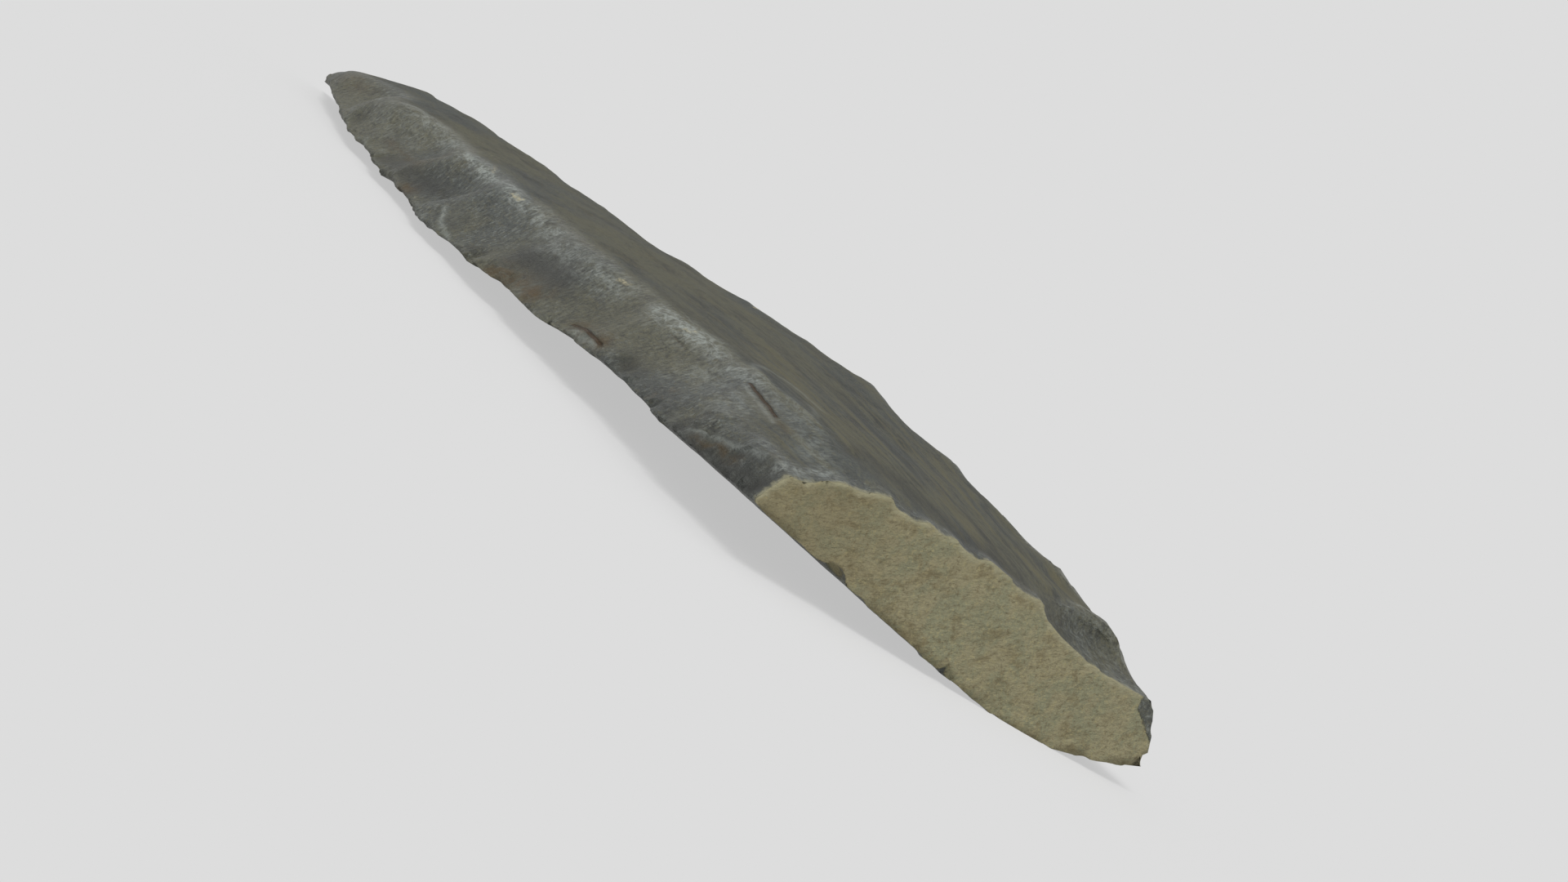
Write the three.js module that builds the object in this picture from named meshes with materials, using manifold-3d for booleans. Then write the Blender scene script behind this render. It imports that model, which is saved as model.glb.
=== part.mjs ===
// Pointed blade of flaked stone, snapped across at its wide end.
//
// Millimetres. X runs from the snapped end to the point, Y across the width towards the steep
// margin, and Z up. The blade is one stone: a lofted blank, with every flake that was struck off
// it cut away as a shallow bowl, and the snap cut square across. It lies on its underside.

import * as THREE from "three";
import { mergeVertices } from "three/addons/utils/BufferGeometryUtils.js";
import Module from "manifold-3d";

const wasm = await Module();
wasm.setup();

// Overall sizes
const bladeLength = 123.6;
const baseWidth = 38;
const backHeight = 11.6; // highest point of the back over the surface that the blade lies on
const tipWidth = 0.5;
const restDepth = 0.3; // how much of the underside's swell is worn flat where the blade lies

// Sizes of one ordinary flake scar
const flakeWidth = 12;
const flakeDepth = 0.75;

// Sizes of one ordinary chip, as crushed off the edges and off the rim of the snap
const chipWidth = 3;
const chipDepth = 0.35;
const edgeChipCount = 15;
const chipSizeShares = [1, 0.7, 1.3, 0.8, 1.1, 0.6, 1.2];
const chipPlaceShares = [0.3, 0.6, 0.4, 0.8, 0.2];

// How far every cutter runs past what it cuts
const overrun = 6;

// Outline: the half width falls from the snap to the point as (1 - share ^ swell) ^ taper
const outlineSwell = 2.2;
const outlineTaper = 0.8;

// Guide lines of the blank. Places along are shares of the length, places across are shares of
// the half width there, and heights are shares of the back's height.
const alongShares = [-0.05, 0, 0.1, 0.25, 0.42, 0.6, 0.77, 0.89, 0.96, 1];
const guideShares = {
  steepEdge: {
    across: [1, 1, 1.01, 1.02, 1.02, 1.02, 1.02, 1.02, 1.02, 1],
    height: [0.34, 0.34, 0.31, 0.23, 0.11, 0.075, 0.085, 0.13, 0.185, 0.1],
  },
  arris: {
    across: [0.93, 0.93, 0.93, 0.9, 0.9, 0.88, 0.89, 0.89, 0.87, 0.75],
    height: [0.58, 0.58, 0.54, 0.46, 0.4, 0.35, 0.33, 0.29, 0.22, 0.09],
  },
  shoulder: {
    across: [0.61, 0.61, 0.64, 0.71, 0.75, 0.73, 0.74, 0.74, 0.65, 0.5],
    height: [0.73, 0.74, 0.81, 0.73, 0.67, 0.58, 0.48, 0.37, 0.24, 0.08],
  },
  spine: {
    across: [0.16, 0.16, 0.18, 0.22, 0.24, 0.22, 0.2, 0.2, 0.2, 0.25],
    height: [0.69, 0.73, 0.828, 0.86, 0.795, 0.693, 0.6, 0.474, 0.284, 0.08],
  },
  crest: {
    across: [-0.72, -0.72, -0.64, -0.38, -0.27, -0.24, -0.23, -0.2, -0.15, 0],
    height: [0.59, 0.69, 0.82, 0.985, 0.885, 0.765, 0.67, 0.53, 0.295, 0.075],
  },
  flatEdge: {
    across: [-1.02, -1.02, -1.03, -1.02, -1.02, -1.02, -1.02, -1.02, -1, -1],
    height: [0.18, 0.18, 0.2, 0.21, 0.19, 0.17, 0.16, 0.15, 0.12, 0.08],
  },
  keel: {
    across: [-0.4, -0.4, -0.37, -0.3, -0.25, -0.22, -0.2, -0.2, -0.2, 0],
    height: [0, 0, 0, 0, 0, 0, 0.01, 0.03, 0.055, 0.065],
  },
};

// Faces of the blank in order round the section: each runs from one guide line to the next,
// bowed outwards by a share of its width. The two on the back are long scars, so they are hollow.
const faces = [
  { from: "steepEdge", steps: 3, bowShare: 0.04 },
  { from: "arris", steps: 3, bowShare: 0.04 },
  { from: "shoulder", steps: 3, bowShare: -0.015 },
  { from: "spine", steps: 3, bowShare: -0.012 },
  { from: "crest", steps: 4, bowShare: 0.1 },
  { from: "flatEdge", steps: 3, bowShare: 0.05 },
  { from: "keel", steps: 5, bowShare: 0.004 },
];
const ringsPerSpan = 4;

// A bowl's depth as a share of its cutter's half height, where along the flake it is deepest, and
// by how much it widens from where the flake was struck
const bowlShare = 0.3;
const bulbShare = 0.4;
const fanShare = 0.3;
const bowlSteps = { around: 18, down: 16 };
const chipSteps = { around: 9, down: 10 };

const stone = new THREE.MeshStandardMaterial({
  color: 0x64655e,
  roughness: 0.62,
  metalness: 0,
});

// A list with one entry for each number from zero up to a count.
function counted(count, make) {
  return [...Array(count).keys()].map(make);
}

// Half width of the outline at a share of the length.
function halfWidth(share) {
  const run = Math.max(share, 0);
  const full = (1 - run ** outlineSwell) ** outlineTaper;
  return (tipWidth + (baseWidth - tipWidth) * full) / 2;
}

// One guide line as a curve through its places. The keel is set lower by `sinking`, so that the
// resting surface trims it flat.
function guideLine({ across, height }, sinking) {
  return new THREE.CatmullRomCurve3(
    alongShares.map(
      (share, i) =>
        new THREE.Vector3(
          share * bladeLength,
          across[i] * halfWidth(share),
          height[i] * backHeight - sinking,
        ),
    ),
    false,
    "catmullrom",
  );
}

const guides = Object.fromEntries(
  Object.entries(guideShares).map(([name, shares]) => [
    name,
    guideLine(shares, name === "keel" ? restDepth : 0),
  ]),
);

// The curve parameter at which the guide lines, which share their places along, pass a station.
function parameterAt(share) {
  let low = 0;
  let high = 1;
  while (high - low > Number.EPSILON * alongShares.length) {
    const middle = (low + high) / 2;
    if (guides.keel.getPoint(middle).x < share * bladeLength) low = middle;
    else high = middle;
  }
  return low;
}

// The points round the section at one curve parameter.
function sectionRing(parameter) {
  const corners = faces.map(({ from }) => guides[from].getPoint(parameter));
  return faces.flatMap(({ steps, bowShare }, i) => {
    const start = corners[i];
    const side = corners[(i + 1) % faces.length].clone().sub(start);
    const outward = new THREE.Vector3(0, side.z, -side.y).multiplyScalar(bowShare);
    return counted(steps, (k) => {
      const s = k / steps;
      return start.clone().addScaledVector(side, s).addScaledVector(outward, 4 * s * (1 - s));
    });
  });
}

// The blank as a closed skin over its section rings.
function blankGeometry() {
  const spans = (alongShares.length - 1) * ringsPerSpan;
  const rings = counted(spans + 1, (j) => sectionRing(j / spans));
  const around = rings[0].length;
  const points = rings.flat();
  const centres = [rings[0], rings[spans]].map((ring) =>
    ring.reduce((sum, p) => sum.add(p), new THREE.Vector3()).divideScalar(around),
  );
  const faceList = [];
  for (let i = 0; i < around; i++) {
    const next = (i + 1) % around;
    for (let j = 0; j < spans; j++) {
      const [a, b] = [j * around + i, j * around + next];
      faceList.push(a, b, b + around, a, b + around, a + around);
    }
    faceList.push(points.length, next, i);
    faceList.push(points.length + 1, spans * around + i, spans * around + next);
  }
  return new THREE.BufferGeometry().setFromPoints([...points, ...centres]).setIndex(faceList);
}

// A closed geometry as a solid that can be cut.
function solid(geometry) {
  const bare = geometry.clone();
  bare.deleteAttribute("normal");
  bare.deleteAttribute("uv");
  const merged = mergeVertices(bare);
  return new wasm.Manifold(
    new wasm.Mesh({
      numProp: 3,
      vertProperties: merged.attributes.position.array,
      triVerts: new Uint32Array(merged.index.array),
    }),
  );
}

// A solid's surface as a geometry.
function geometryOf(body) {
  const mesh = body.getMesh();
  const geometry = new THREE.BufferGeometry();
  geometry.setAttribute("position", new THREE.BufferAttribute(mesh.vertProperties, 3));
  geometry.setIndex(new THREE.BufferAttribute(mesh.triVerts, 1));
  geometry.computeVertexNormals();
  return geometry;
}

// A unit ball drawn in on the side where the flake is struck, so that the scar fans out.
function fannedBall({ around, down }) {
  const ball = new THREE.SphereGeometry(1, around, down).rotateX(Math.PI / 2);
  const places = ball.attributes.position;
  for (let i = 0; i < places.count; i++) {
    places.setX(i, places.getX(i) * (1 + fanShare * places.getY(i)));
  }
  return ball;
}

// The bowl that one flake leaves, a cap of an ellipsoid. The flake is struck at `start` and ends
// at `end`, `depth` is how far it bites below the line between them, and `lift` is how far the
// face that it crosses stands above that line. `fullShare` is high for a bowl with steep sides.
function flakeBowl({
  start,
  end,
  outward,
  width,
  depth,
  lift = 0,
  fullShare = bowlShare,
  steps = bowlSteps,
}) {
  const inward = end.clone().sub(start);
  const reach = inward.length();
  inward.normalize();
  const face = outward.clone().addScaledVector(inward, -outward.dot(inward)).normalize();
  const along = inward.clone().cross(face);
  const halfHeight = (depth + lift) / fullShare;
  const spreadAt = (bite) => Math.sqrt(1 - (1 - bite / halfHeight) ** 2);
  const bowl = fannedBall(steps);
  bowl.scale(
    width / 2 / spreadAt(depth + lift),
    (reach * (1 - bulbShare)) / spreadAt(depth),
    halfHeight,
  );
  bowl.applyMatrix4(new THREE.Matrix4().makeBasis(along, inward, face));
  const centre = start
    .clone()
    .addScaledVector(inward, reach * bulbShare)
    .addScaledVector(face, halfHeight - depth);
  return bowl.translate(...centre.toArray());
}

// A place on a guide line at a share of the length.
function placeOn(name, share) {
  return guides[name].getPoint(parameterAt(Math.min(share, 1)));
}

// How far the blank's skin at a share of the length stands above the line from start to end.
function skinLift(share, start, end, outward) {
  const line = end.clone().sub(start);
  const heights = sectionRing(parameterAt(share))
    .map((point) => point.sub(start))
    .filter((step) => step.dot(line) > 0 && step.dot(line) < line.lengthSq())
    .map((step) => step.dot(outward));
  return Math.max(0, ...heights);
}

// A row of flakes struck from one guide line towards another, each leaning towards the point.
function flakeRow({ rowShares, from, to, leanShare }) {
  return rowShares.map(([share, widthShare, depthShare, reachShare]) => {
    const start = placeOn(from, share);
    const end = start.clone().lerp(placeOn(to, share + leanShare), reachShare);
    const line = end.clone().sub(start);
    const outward = new THREE.Vector3(1, 0, 0).cross(line).normalize();
    const heart = placeOn("keel", share).lerp(placeOn("shoulder", share), 0.5);
    if (outward.dot(start.clone().sub(heart)) < 0) outward.negate();
    return flakeBowl({
      start,
      end,
      outward,
      width: widthShare * flakeWidth,
      depth: depthShare * flakeDepth,
      lift: skinLift(share, start, end, outward),
    });
  });
}

// Rows of flake scars. Each flake has its place as a share of the blade's length, then its width,
// depth and reach as shares of an ordinary flake's width and depth and of the face it crosses.
const flakeRows = [
  {
    from: "steepEdge",
    to: "shoulder",
    leanShare: 0.02,
    rowShares: [
      [0.94, 1.4, 0.3, 1.0],
      [0.84, 1.6, 0.5, 1.0],
      [0.69, 2.2, 1.4, 1.1],
      [0.575, 1.5, 2.0, 0.85],
      [0.465, 2.0, 1.2, 1.05],
      [0.375, 1.3, 1.1, 0.85],
      [0.3, 1.6, 1.5, 1.0],
      [0.2, 2.0, 1.1, 1.05],
    ],
  },
  {
    from: "arris",
    to: "shoulder",
    leanShare: 0.01,
    rowShares: [
      [0.1, 1.5, 0.5, 1.1],
      [0.02, 1.0, 0.4, 0.9],
    ],
  },
  {
    from: "steepEdge",
    to: "shoulder",
    leanShare: 0.01,
    rowShares: [
      [0.76, 0.5, 0.5, 0.4],
      [0.71, 0.6, 0.8, 0.45],
      [0.63, 0.7, 0.8, 0.5],
      [0.555, 0.6, 0.9, 0.5],
      [0.43, 0.5, 0.5, 0.4],
      [0.345, 0.6, 0.9, 0.45],
      [0.255, 0.5, 0.8, 0.4],
      [0.15, 0.8, 0.8, 0.4],
      [0.115, 0.5, 0.6, 0.35],
    ],
  },
  {
    from: "flatEdge",
    to: "crest",
    leanShare: 0.03,
    rowShares: [
      [0.93, 1.3, 0.4, 1.0],
      [0.83, 1.5, 0.6, 1.1],
      [0.73, 1.8, 0.9, 1.15],
      [0.62, 1.8, 1.1, 1.2],
      [0.54, 1.3, 1.2, 1.3],
      [0.455, 1.8, 1.2, 1.3],
      [0.365, 1.4, 1.1, 1.25],
      [0.285, 1.2, 1.0, 1.25],
      [0.21, 1.4, 1.1, 1.3],
      [0.14, 1.0, 0.9, 1.3],
      [0.085, 0.8, 0.7, 1.25],
    ],
  },
  {
    from: "steepEdge",
    to: "keel",
    leanShare: 0.04,
    rowShares: [
      [0.9, 1.6, 0.4, 1.1],
      [0.79, 2.0, 0.6, 0.95],
      [0.68, 1.9, 0.7, 1.05],
      [0.56, 2.4, 0.8, 0.9],
      [0.43, 2.0, 0.8, 0.85],
      [0.31, 2.3, 0.9, 0.9],
      [0.17, 2.5, 0.9, 0.8],
    ],
  },
  {
    from: "flatEdge",
    to: "keel",
    leanShare: 0.02,
    rowShares: [
      [0.93, 1.4, 0.3, 1.0],
      [0.83, 1.9, 0.6, 0.95],
      [0.72, 2.1, 0.7, 1.1],
      [0.6, 2.3, 0.8, 0.95],
      [0.49, 1.8, 0.9, 0.85],
      [0.37, 2.4, 0.9, 0.95],
      [0.24, 2.2, 0.9, 0.8],
      [0.12, 2.2, 0.8, 0.9],
    ],
  },
];

// Nicks bitten down across the crest: place along, then width and depth as shares
const nickReach = 11;
const crestNickShares = [
  [0.76, 0.9, 0.2],
  [0.65, 0.8, 0.2],
  [0.53, 1.2, 0.7],
  [0.445, 0.8, 0.4],
  [0.37, 0.7, 0.25],
  [0.305, 0.8, 0.5],
  [0.2, 1.0, 0.7],
  [0.145, 0.5, 0.4],
  [0.1, 0.5, 0.4],
  [0.05, 0.5, 0.5],
];

function crestNicks() {
  return crestNickShares.map(([share, widthShare, depthShare]) => {
    const middle = placeOn("crest", share);
    const halfReach = new THREE.Vector3(0, nickReach / 2, 0);
    return flakeBowl({
      start: middle.clone().sub(halfReach),
      end: middle.clone().add(halfReach),
      outward: new THREE.Vector3(0, 0, 1),
      width: widthShare * flakeWidth,
      depth: depthShare * flakeDepth,
    });
  });
}

// Flakes at the snapped end, in millimetres: places are across and up from the resting surface,
// and each flake runs `reach` along the blade
const thinningFlake = { across: -13.6, height: 7.5, reach: 3.5, width: 18, depth: 1.5, fullShare: 0.75 };
const underNotch = { across: 11.1, height: 2.6, reach: 5, width: 2.4, depth: 0.6, fullShare: 0.5 };
const cornerChip = { across: -19.6, height: 2.9, reach: 3, width: 2.6, depth: 0.2, fullShare: 0.6 };

// A flake struck off at the snapped end along the blade.
function snapFlake({ across, height, reach, width, depth, fullShare }, outward) {
  return flakeBowl({
    start: new THREE.Vector3(-reach, across, height),
    end: new THREE.Vector3(reach, across, height),
    outward,
    width,
    depth,
    fullShare,
  });
}

// Chips crushed off the rim of the snap where it meets the back, one at each point of the section
// from the arris round to the crest.
function rimChips() {
  const ring = sectionRing(parameterAt(0));
  const turns = faces.map(({ from }) => from);
  const stepsBefore = (name) =>
    faces.slice(0, turns.indexOf(name)).reduce((sum, { steps }) => sum + steps, 0);
  return ring.slice(stepsBefore("arris"), stepsBefore("crest")).map((rim, i) => {
    const size = chipWidth * chipSizeShares[i % chipSizeShares.length];
    return flakeBowl({
      start: rim.clone().add(new THREE.Vector3(-size / 2, 0, 0)),
      end: rim.clone().add(new THREE.Vector3(size / 2, 0, 0)),
      outward: new THREE.Vector3(-1, 0, 1),
      width: size,
      depth: (chipDepth * size) / chipWidth,
      steps: chipSteps,
    });
  });
}

// Chips along one edge, where the blade was used: small bowls bitten into the edge from above.
function edgeChips(edge, face) {
  return counted(edgeChipCount, (i) => {
    const share = (i + chipPlaceShares[i % chipPlaceShares.length]) / edgeChipCount;
    const slimShare = halfWidth(share) / halfWidth(0);
    const size = chipWidth * slimShare * chipSizeShares[i % chipSizeShares.length];
    const start = placeOn(edge, share);
    const toward = placeOn(face, share).sub(start).setLength(size);
    return flakeBowl({
      start,
      end: start.clone().add(toward),
      outward: new THREE.Vector3(0, start.y, halfWidth(share)),
      width: size,
      depth: (chipDepth * size) / chipWidth,
      steps: chipSteps,
    });
  });
}

function cut(body, geometries) {
  return geometries.reduce((left, geometry) => left.subtract(solid(geometry)), body);
}

// Everything past the snap, and everything under the surface that the blade lies on.
function wasteBlocks() {
  const span = 2 * (bladeLength + overrun);
  const snapWaste = new THREE.BoxGeometry(2 * overrun + bladeLength, span, span);
  snapWaste.translate(-overrun - bladeLength / 2, 0, 0);
  const restWaste = new THREE.BoxGeometry(span, span, 2 * overrun);
  restWaste.translate(bladeLength / 2, 0, -overrun);
  return [snapWaste, restWaste];
}

const flakes = [
  ...flakeRows.flatMap(flakeRow),
  ...crestNicks(),
  snapFlake(thinningFlake, new THREE.Vector3(0, 0, 1)),
  snapFlake(underNotch, new THREE.Vector3(0, 0, -1)),
  snapFlake(cornerChip, new THREE.Vector3(0, -1, 0)),
  ...rimChips(),
  ...edgeChips("steepEdge", "arris"),
  ...edgeChips("flatEdge", "crest"),
];

const body = cut(solid(blankGeometry()), [...wasteBlocks(), ...flakes]);

// The blade stands with the origin below the middle of its length and width.
const blade = new THREE.Mesh(geometryOf(body), stone);
blade.name = "stone_blade";
const box = new THREE.Box3().setFromObject(blade);
const middle = box.getCenter(new THREE.Vector3());
blade.position.set(-middle.x, -middle.y, -box.min.z);

const part = new THREE.Group();
part.name = "pointed_blade";
part.add(blade);

export default part;
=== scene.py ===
"""Looks of a pointed blade of flaked stone, snapped across at its wide end.

The solid blade is taken over as a fine skin. Its facets are eased, the small crushing along its
edges is bitten out, and the stone's grain is raised on it. One stone finish covers the skin, the
broken end, the marks that wear and soil have left, and painted shade and sheen.

Lengths and places are in millimetres unless a line says otherwise, and angles in degrees. Places
are in the part's own frame: X runs from the snapped end to the point, Y towards the steep
margin, Z up.
"""

import logging
import math
from collections import Counter, defaultdict
from dataclasses import dataclass, field
from enum import Enum
from typing import Any

import bmesh
import bpy
import numpy as np
from mathutils import Matrix, Vector
from mathutils.kdtree import KDTree


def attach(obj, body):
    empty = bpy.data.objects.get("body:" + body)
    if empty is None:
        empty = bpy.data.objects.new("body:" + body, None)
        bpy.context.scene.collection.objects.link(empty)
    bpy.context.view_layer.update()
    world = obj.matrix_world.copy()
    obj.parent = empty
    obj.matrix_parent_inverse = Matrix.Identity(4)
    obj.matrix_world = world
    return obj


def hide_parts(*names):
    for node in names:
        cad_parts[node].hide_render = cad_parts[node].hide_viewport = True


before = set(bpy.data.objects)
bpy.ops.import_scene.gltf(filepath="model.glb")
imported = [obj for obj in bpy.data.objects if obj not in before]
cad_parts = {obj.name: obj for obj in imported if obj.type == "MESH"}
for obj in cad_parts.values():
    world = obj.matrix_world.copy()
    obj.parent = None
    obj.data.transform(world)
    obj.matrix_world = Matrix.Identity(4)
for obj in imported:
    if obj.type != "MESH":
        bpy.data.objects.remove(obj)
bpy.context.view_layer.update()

LOG = logging.getLogger("stone_blade")

MM = 0.001
NODE = "stone_blade"
BODY = "root"

Point = tuple[float, float, float]
Limits = tuple[float, float]
Tone = tuple[int, int, int]


class Mark(Enum):
    """Kinds of mark on the stone, painted shade and sheen among them. The value names the vertex
    attribute that carries it.
    """

    FLECK = "fleck"
    GROOVE = "groove"
    PALE_LINE = "pale_line"
    STAIN = "stain"
    # Pale polish, partly a painted sheen on the shoulder
    BLOOM = "bloom_and_sheen"
    # Painted shade, where scars and facets lie in shadow
    PAINTED_SHADE = "shade"


class Lie(Enum):
    """What a vertex of the skin lies on. The value names its attribute."""

    WORN = "worn"
    HOLLOW = "hollow"
    RIM = "rim"
    BACK = "back"
    FRESH = "fresh"
    OLD = "old"


def tone(shown: Tone) -> tuple[float, float, float, float]:
    """Turns a colour as it is seen, from 0 to 255, into the linear one that a shader takes."""
    shares = [value / 255 for value in shown]
    linear = [s / 12.92 if s <= 0.04045 else ((s + 0.055) / 1.055) ** 2.4 for s in shares]
    return (*linear, 1.0)


def rise(values: np.ndarray, limits: Limits) -> np.ndarray:
    """Returns how far values have come from the first limit to the second, from 0 to 1."""
    return np.clip((values - limits[0]) / (limits[1] - limits[0]), 0, 1)


def fade(away: np.ndarray, reach: Any) -> np.ndarray:
    """Returns a share that is 1 at no distance and fades out over a reach."""
    return np.exp(-((away / reach) ** 2))


def set_out(name: str, data: Any) -> bpy.types.Object:
    """Returns a new object, set out in the scene, that shows a mesh, a lamp or a lens."""
    made = bpy.data.objects.new(name, data)
    bpy.context.scene.collection.objects.link(made)
    return made


def keep_modified(stone: bpy.types.Object) -> None:
    """Makes what an object's modifiers show its plain mesh, and removes them."""
    seen = stone.evaluated_get(bpy.context.evaluated_depsgraph_get())
    mesh = bpy.data.meshes.new_from_object(seen)
    stone.modifiers.clear()
    stone.data = mesh


def search_tree(places: Any) -> KDTree:
    """Returns a search tree of places."""
    tree = KDTree(len(places))
    for i, place in enumerate(places):
        tree.insert(place, i)
    tree.balance()
    return tree


@dataclass(frozen=True)
class Trace:
    """One mark left on the stone.

    Attributes:
        path: Places that it runs through. One place makes a spot.
        reach: How far it spreads to each side.
        strength: How plainly it shows, from 0 to 1.
    """

    path: tuple[Point, ...]
    reach: float
    strength: float = 1.0


TRACES: dict[Mark, tuple[Trace, ...]] = {
    # Cream flecks, where grit shows in the skin
    Mark.FLECK: (
        Trace(((-15.8, -3.2, 10.4),), 0.45),
        Trace(((-2.4, 12.1, 6.8), (-4.0, 11.9, 7.0)), 0.5, 0.8),
        Trace(((-24.4, 13.2, 7.8), (-25.5, 13.1, 7.9)), 0.5, 0.8),
        Trace(((2.3, 0.5, 8.9),), 0.35, 0.8),
        Trace(((14.2, 6.7, 7.2), (10.7, 7.6, 7.3)), 0.4, 0.6),
        Trace(((42.4, 5.2, 4.8),), 0.35, 0.75),
        Trace(((40.2, 4.9, 5.2),), 0.35, 0.75),
        Trace(((39.1, 3.9, 5.9),), 0.35, 0.7),
        Trace(((8.0, 13.2, 1.4),), 0.5, 0.7),
        Trace(((-34.8, 13.1, 8.4), (-35.6, 13.0, 8.5)), 0.5, 0.7),
        Trace(((-41.0, 11.5, 9.1),), 0.6, 0.55),
        Trace(((9.4, 12.8, 1.3),), 0.4, 0.6),
        Trace(((7.7, 9.4, 7.1), (5.5, 10.2, 7.1)), 0.35, 0.7),
    ),
    # The brown groove on the flank and the slit over the edge
    Mark.GROOVE: (
        Trace(((-46.2, 13.8, 8.3), (-48.7, 13.9, 8.1), (-51.6, 14.3, 7.9)), 0.16),
        Trace(((-51.6, 14.3, 7.9), (-55.0, 15.0, 7.6)), 0.17, 0.5),
        Trace(((-27.8, 16.3, 3.6), (-29.7, 16.6, 3.9), (-33.3, 16.9, 4.0)), 0.19),
        Trace(((-35.0, 13.8, 7.3), (-37.5, 13.8, 7.2)), 0.15, 0.55),
    ),
    # Fine pale lines, where one flake scar ends on another
    Mark.PALE_LINE: (
        Trace(((-45.0, 13.0, 9.0), (-42.0, 11.5, 9.1), (-40.5, 9.5, 9.2)), 0.3, 0.5),
        Trace(((-40.5, 9.5, 9.2), (-42.2, 8.4, 9.4), (-46.7, 8.2, 9.4)), 0.3, 0.45),
        Trace(((-47.9, 10.0, 9.4), (-51.0, 11.4, 9.3)), 0.25, 0.4),
        Trace(((-46.1, 14.2, 8.1), (-48.6, 14.3, 7.9), (-52.5, 14.8, 7.5)), 0.17, 0.6),
        Trace(((-29.7, 17.2, 3.5), (-33.1, 17.3, 3.8)), 0.3, 0.7),
        Trace(((0.9, 14.4, 2.9), (-1.2, 15.1, 1.9), (-4.1, 15.5, 1.5)), 0.25, 0.9),
        Trace(((-51.1, 19.0, 4.4), (-54.4, 18.5, 5.4), (-58.2, 18.0, 6.0)), 0.25, 0.6),
    ),
    # Brown soil held in the hollows over the steep edge
    Mark.STAIN: (
        Trace(((11.7, 12.7, 1.5), (9.4, 12.8, 1.3)), 0.8, 0.9),
        Trace(((-13.4, 16.2, 2.4), (-17.9, 16.1, 2.9), (-21.4, 16.2, 3.3)), 1.1, 1.0),
        Trace(((-28.0, 16.2, 3.7), (-33.1, 16.8, 4.1)), 0.9, 0.9),
        Trace(((-42.5, 18.2, 3.5), (-43.5, 17.1, 4.7)), 0.7, 0.7),
        Trace(((-47.0, 14.0, 8.1), (-54.0, 14.6, 7.5)), 0.6, 0.4),
        Trace(((42.0, 6.0, 4.2), (47.0, 5.4, 3.4)), 1.2, 0.4),
        Trace(((-52.4, 19.1, 4.2), (-54.3, 19.0, 4.6), (-56.9, 18.8, 5.0)), 0.35, 0.8),
        Trace(((23.9, 9.8, 2.7), (20.0, 10.0, 2.8), (13.6, 11.9, 3.8)), 0.5, 0.5),
        Trace(((13.6, 11.9, 3.8), (12.2, 11.3, 5.1), (16.7, 8.6, 6.0)), 0.45, 0.5),
    ),
    # Painted shade: dark patches in the deeper scars, on the steep facet by the snap and by its
    # rim
    Mark.PAINTED_SHADE: (
        Trace(((-13.9, 14.7, 4.4), (-16.8, 14.5, 4.8), (-20.8, 14.8, 5.1)), 2.0, 0.9),
        Trace(((-20.8, 14.3, 6.1),), 0.7, 0.9),
        Trace(((-2.4, 14.6, 2.5),), 0.7, 0.7),
        Trace(((19.7, 11.0, 2.0), (14.7, 12.1, 2.5), (8.5, 11.7, 2.8)), 1.3, 0.8),
        Trace(((-36.3, 16.7, 4.2), (-38.8, 16.8, 4.3)), 1.4, 0.8),
        Trace(((-49.6, 19.0, 3.4), (-53.0, 19.2, 3.8), (-58.8, 18.7, 4.5)), 1.3, 1.0),
        Trace(((-57.5, 19.1, 3.4), (-60.9, 18.8, 4.5)), 1.4, 1.0),
        Trace(((-56.5, 18.6, 5.3), (-60.9, 18.3, 5.8)), 0.9, 0.9),
        Trace(((-41.5, 17.3, 4.2), (-46.4, 18.1, 4.1)), 1.0, 0.6),
        Trace(((-55.0, 8.1, 9.1), (-59.8, 3.8, 8.6), (-60.6, -2.0, 8.2)), 2.0, 0.5),
        Trace(((-60.6, -2.0, 8.2), (-60.6, -6.0, 7.6)), 1.6, 0.25),
    ),
    # Pale polish, where handling has polished the shoulder, partly a painted sheen
    Mark.BLOOM: (
        Trace(((26.9, 9.2, 4.2), (21.6, 8.5, 4.9)), 2.4, 0.3),
        Trace(((28.0, 8.0, 6.0), (20.7, 8.0, 5.9), (15.5, 8.6, 6.0)), 0.9, 0.6),
        Trace(((14.0, 8.8, 6.1), (9.3, 10.8, 6.4), (2.9, 10.9, 6.6)), 0.8, 0.9),
        Trace(((2.9, 10.9, 6.6), (-5.0, 12.1, 6.8), (-12.5, 12.6, 7.0)), 0.8, 0.8),
        Trace(((-14.0, 13.3, 6.4), (-21.0, 13.9, 6.7), (-26.0, 13.5, 7.2)), 1.3, 0.5),
        Trace(((-31.1, 13.4, 8.2), (-34.7, 13.2, 8.3), (-37.3, 12.9, 8.5)), 1.2, 1.0),
        Trace(((-37.5, 12.8, 8.6), (-41.5, 13.3, 8.0), (-46.0, 13.1, 8.7)), 1.0, 0.7),
        Trace(((-40.5, 14.3, 6.7), (-44.5, 14.6, 7.1), (-49.9, 15.6, 7.1)), 1.8, 0.35),
        Trace(((-60.3, 17.8, 6.5), (-60.7, 16.6, 6.9), (-60.4, 15.0, 7.4)), 0.7, 0.8),
        Trace(((-59.6, -10.5, 6.6), (-60.4, -14.5, 5.8)), 1.6, 0.3),
        Trace(((-47.6, 13.2, 8.6), (-53.2, 13.1, 8.8), (-60.0, 15.0, 7.5)), 1.4, 0.4),
    ),
}


@dataclass(frozen=True)
class Pattern:
    """Noise that the stone's colour and grain follow.

    Attributes:
        name: What the layers call it.
        per_mm: Its scale, in features a millimetre.
        detail: Its octaves.
        rough: How strong the finer octaves are.
        bent: Whether slower noise bends it.
        drawn: How its scale differs along X, Y and Z.
        turned: Whether it follows the grain of the broken end.
    """

    name: str
    per_mm: float
    detail: float
    rough: float
    bent: bool = True
    drawn: Point = (1.0, 1.0, 1.0)
    turned: bool = False


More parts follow.
